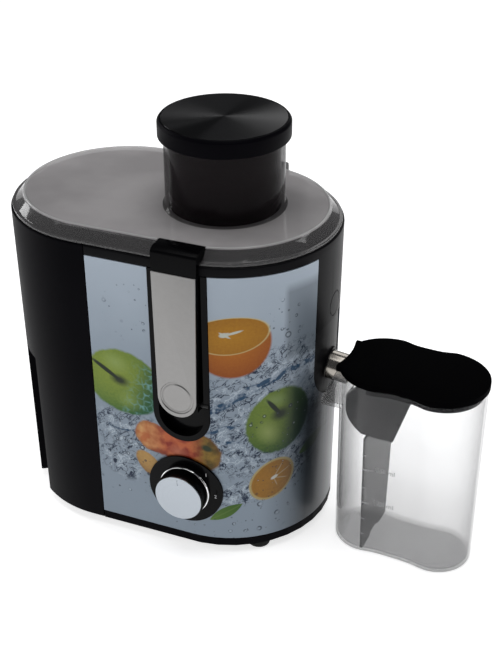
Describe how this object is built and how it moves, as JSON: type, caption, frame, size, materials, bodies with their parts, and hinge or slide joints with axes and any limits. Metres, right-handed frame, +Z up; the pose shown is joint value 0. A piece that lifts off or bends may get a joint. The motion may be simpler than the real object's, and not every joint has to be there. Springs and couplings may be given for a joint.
{
  "type": "centrifugal juicer",
  "caption": "Compact centrifugal juicer: oval housing with printed wrap, slide-out pulp bin, smoky lid with feed chute and pusher, side clamps, speed knob, steel spout and a lidded juice jug.",
  "frame": {"origin": "middle of the footprint, on the surface that the feet and the jug stand on", "axes": "+X from the pulp bin towards the jug, +Z up, -Y the side with the speed knob"},
  "size_m": [0.3284, 0.1614, 0.2854],
  "materials": {
    "charcoal_plastic": "fine satin charcoal",
    "gloss_black_plastic": "gloss black",
    "printed_steel": "printed sheet steel, satin lacquer",
    "smoky_plastic": "clear smoky moulding",
    "clear_plastic": "clear moulding",
    "smoke_grey_plastic": "dark grey moulding",
    "satin_silver": "satin silver",
    "chrome_trim": "bright plated",
    "stainless_steel": "satin stainless",
    "rubber": "matt black rubber",
    "plated_steel": "plated steel",
    "copper": "enamelled copper",
    "pale_plastic": "natural nylon",
    "dark_moulding": "dark moulding"
  },
  "bodies": {
    "housing": {"base_plate": "charcoal_plastic", "motor_housing": "charcoal_plastic", "juice_bowl": "charcoal_plastic", "clamp_frame_front": "gloss_black_plastic", "clamp_frame_rear": "gloss_black_plastic", "knob_bezel": "gloss_black_plastic", "printed_wrap": "printed_steel", "lid": "smoky_plastic", "spout": "stainless_steel", "shaft_seal": "rubber", "motor_cushion": "rubber", "foot_1": "rubber", "foot_2": "rubber", "foot_3": "rubber", "foot_4": "rubber", "cord_gland": "rubber", "clamp_pin_front": "plated_steel", "clamp_pin_rear": "plated_steel", "stator": "plated_steel", "lower_bridge": "plated_steel", "upper_bridge": "plated_steel", "motor_bolt_1": "plated_steel", "motor_bolt_2": "plated_steel", "base_screw_1": "plated_steel", "base_screw_2": "plated_steel", "base_screw_3": "plated_steel", "base_screw_4": "plated_steel", "lower_bearing": "plated_steel", "upper_bearing": "plated_steel", "field_coil_left": "copper", "field_coil_right": "copper", "rotary_switch": "pale_plastic", "brush_holder_left": "dark_moulding", "brush_holder_right": "dark_moulding", "carbon_brush_left": "dark_moulding", "carbon_brush_right": "dark_moulding", "safety_switch": "dark_moulding"},
    "drive": {"armature": "plated_steel", "commutator": "copper", "drive_shaft": "plated_steel", "cooling_fan": "pale_plastic", "drive_coupling": "pale_plastic", "filter_basket": "stainless_steel", "grater_disc": "stainless_steel"},
    "pusher": {"pusher_sleeve": "smoky_plastic", "pusher_foot": "gloss_black_plastic", "pusher_cap": "charcoal_plastic", "cap_disc": "gloss_black_plastic"},
    "knob": {"knob_ring": "chrome_trim", "knob_body": "charcoal_plastic", "knob_face": "satin_silver", "switch_spindle": "pale_plastic"},
    "clamp_front": {"clamp_arm_front": "charcoal_plastic", "clamp_plate_front": "satin_silver"},
    "clamp_rear": {"clamp_arm_rear": "charcoal_plastic", "clamp_plate_rear": "satin_silver"},
    "pulp_bin": {"pulp_container": "charcoal_plastic"},
    "jug": {"jug": "clear_plastic"},
    "jug_cover": {"jug_lid": "charcoal_plastic", "froth_guard": "smoke_grey_plastic"}
  },
  "joints": [
    {"name": "drive_spin", "type": "hinge", "parent": "housing", "child": "drive", "pos_m": [-0.01797, 0.0026, 0.131], "axis": [0, 0, 1], "continuous": true},
    {"name": "pusher_slide", "type": "slide", "parent": "housing", "child": "pusher", "axis": [0, 0, 1], "range_m": [0, 0.1]},
    {"name": "speed_knob", "type": "hinge", "parent": "housing", "child": "knob", "pos_m": [-0.01797, -0.0724, 0.0503], "axis": [0, 1, 0], "range_deg": [0, 90]},
    {"name": "clamp_front_swing", "type": "hinge", "parent": "housing", "child": "clamp_front", "pos_m": [-0.01917, -0.067, 0.119], "axis": [1, 0, 0], "range_deg": [0, 40]},
    {"name": "clamp_rear_swing", "type": "hinge", "parent": "housing", "child": "clamp_rear", "pos_m": [-0.01917, 0.0722, 0.119], "axis": [-1, 0, 0], "range_deg": [0, 40]},
    {"name": "pulp_bin_slide", "type": "slide", "parent": "housing", "child": "pulp_bin", "axis": [-1, 0, 0], "range_m": [0, 0.1]},
    {"name": "jug_slide", "type": "slide", "parent": "housing", "child": "jug", "axis": [0.9976, -0.0698, 0], "range_m": [0, 0.15]},
    {"name": "jug_lid_lift", "type": "slide", "parent": "jug", "child": "jug_cover", "axis": [0, 0, 1], "range_m": [0, 0.08]}
  ]
}
